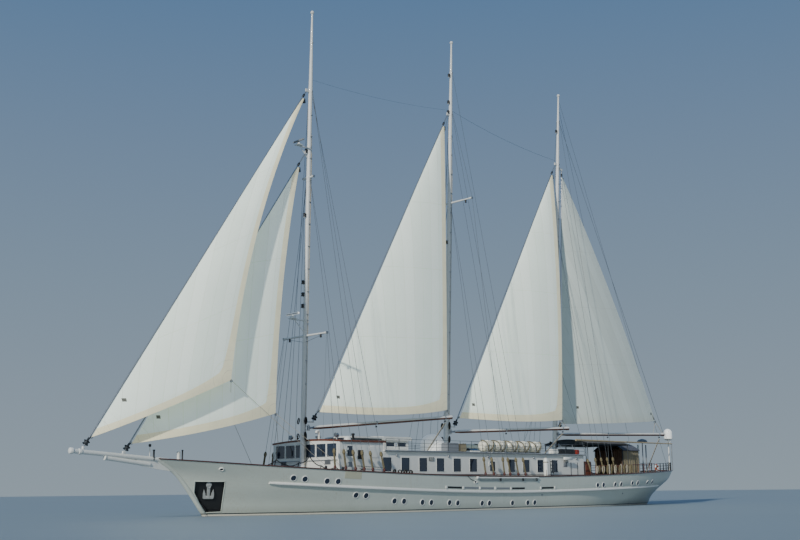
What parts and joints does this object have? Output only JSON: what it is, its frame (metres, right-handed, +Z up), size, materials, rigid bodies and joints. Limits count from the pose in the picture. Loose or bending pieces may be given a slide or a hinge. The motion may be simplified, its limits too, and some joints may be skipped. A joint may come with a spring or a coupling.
{
  "type": "half-size scale model of a staysail schooner",
  "caption": "Staysail schooner with furling sails set on swinging booms, deckhouse, wheelhouse, rudder and propeller, at half size.",
  "frame": {"origin": "centreline of the ship at the waterline, under the main mast", "axes": "+X towards the bow, +Y to port, +Z up"},
  "size_m": [32.3079, 5.0245, 22.355],
  "materials": {
    "hull_paint": "gloss paint, antifouling below the waterline",
    "rail_timber": "varnished dark timber",
    "house_paint": "satin paint",
    "window_glass": "dark tinted glass",
    "spar_paint": "white paint on aluminium",
    "sail_cloth": "polyester sailcloth",
    "steel": "brushed or galvanized",
    "raft_shell": "moulded shell",
    "bronze": "cast",
    "awning_cloth": "dark canvas",
    "antifouling": "matt antifouling paint"
  },
  "bodies": {
    "ship": {"hull": "hull_paint", "bulwark_port": "hull_paint", "bulwark_starboard": "hull_paint", "cap_rail_port": "rail_timber", "cap_rail_starboard": "rail_timber", "rubbing_strake_port": "hull_paint", "rubbing_strake_starboard": "hull_paint", "keel": "antifouling", "bowsprit": "hull_paint", "deckhouse_walls_fore": "house_paint", "deckhouse_walls_aft": "house_paint", "deckhouse_roof": "house_paint", "wheelhouse_walls": "house_paint", "wheelhouse_roof": "rail_timber", "deckhouse_glass_port": "window_glass", "deckhouse_glass_starboard": "window_glass", "wheelhouse_glass": "window_glass", "shelter_walls": "house_paint", "shelter_roof": "house_paint", "foremast": "spar_paint", "mainmast": "spar_paint", "mizzenmast": "spar_paint", "outer_jib_stay": "steel", "outer_jib": "sail_cloth", "inner_jib_stay": "steel", "inner_jib": "sail_cloth", "main_staysail_stay": "steel", "main_staysail": "sail_cloth", "mizzen_staysail_stay": "steel", "mizzen_staysail": "sail_cloth", "mizzen_sail_stay": "steel", "mizzen_sail": "sail_cloth", "roof_dome": "house_paint", "stern_dome": "house_paint", "raft_rack_port": "raft_shell", "raft_rack_starboard": "raft_shell", "awning_frame": "steel", "aft_awning": "awning_cloth", "pavilion_walls": "awning_cloth", "pavilion_roof": "awning_cloth", "windlass": "steel", "foredeck_hatch": "house_paint", "stowed_gangway": "house_paint", "anchor_port": "steel", "anchor_starboard": "steel"},
    "rudder": {"rudder": "antifouling"},
    "propeller": {"propeller": "bronze"},
    "fore_boom": {"fore_boom": "spar_paint"},
    "main_boom": {"main_boom": "spar_paint"},
    "mizzen_boom": {"mizzen_boom": "spar_paint"},
    "upper_radar": {"radar_scanner_upper": "house_paint"},
    "lower_radar": {"radar_scanner_lower": "house_paint"},
    "deckhouse_door_port": {"deckhouse_door_port": "house_paint"},
    "deckhouse_door_starboard": {"deckhouse_door_starboard": "house_paint"},
    "wheelhouse_door_port": {"wheelhouse_door_port": "house_paint"},
    "wheelhouse_door_starboard": {"wheelhouse_door_starboard": "house_paint"}
  },
  "joints": [
    {"name": "rudder_turn", "type": "hinge", "parent": "ship", "child": "rudder", "pos_m": [-12.8, 0, -1.3], "axis": [0, 0, 1], "range_deg": [-35, 35]},
    {"name": "propeller_spin", "type": "hinge", "parent": "ship", "child": "propeller", "pos_m": [-11.765, 0, -1.4], "axis": [1, 0, 0], "continuous": true},
    {"name": "fore_boom_swing", "type": "hinge", "parent": "ship", "child": "fore_boom", "pos_m": [7.19, 0, 3.05], "axis": [0, 0, 1], "range_deg": [-33.8, 50.2], "deforming": ["main_staysail"]},
    {"name": "main_boom_swing", "type": "hinge", "parent": "ship", "child": "main_boom", "pos_m": [-0.34, 0, 3.12], "axis": [0, 0, 1], "range_deg": [-32.2, 51.8], "deforming": ["mizzen_staysail"]},
    {"name": "mizzen_boom_swing", "type": "hinge", "parent": "ship", "child": "mizzen_boom", "pos_m": [-7.39, 0, 3.2], "axis": [0, 0, 1], "range_deg": [-31.9, 52.1], "deforming": ["mizzen_sail"]},
    {"name": "upper_radar_spin", "type": "hinge", "parent": "ship", "child": "upper_radar", "pos_m": [7.7346, 0, 13.83], "axis": [0, 0, 1], "continuous": true},
    {"name": "lower_radar_spin", "type": "hinge", "parent": "ship", "child": "lower_radar", "pos_m": [7.9531, 0, 7.16], "axis": [0, 0, 1], "continuous": true},
    {"name": "deckhouse_door_port_swing", "type": "hinge", "parent": "ship", "child": "deckhouse_door_port", "pos_m": [-0.52, 1.905, 1.44], "axis": [0, 0, -1], "range_deg": [0, 90]},
    {"name": "deckhouse_door_starboard_swing", "type": "hinge", "parent": "ship", "child": "deckhouse_door_starboard", "pos_m": [-0.52, -1.905, 1.44], "axis": [0, 0, 1], "range_deg": [0, 90]},
    {"name": "wheelhouse_door_port_swing", "type": "hinge", "parent": "ship", "child": "wheelhouse_door_port", "pos_m": [7.025, 1.905, 1.97], "axis": [0, 0, -1], "range_deg": [0, 90]},
    {"name": "wheelhouse_door_starboard_swing", "type": "hinge", "parent": "ship", "child": "wheelhouse_door_starboard", "pos_m": [7.025, -1.905, 1.97], "axis": [0, 0, 1], "range_deg": [0, 90]}
  ]
}
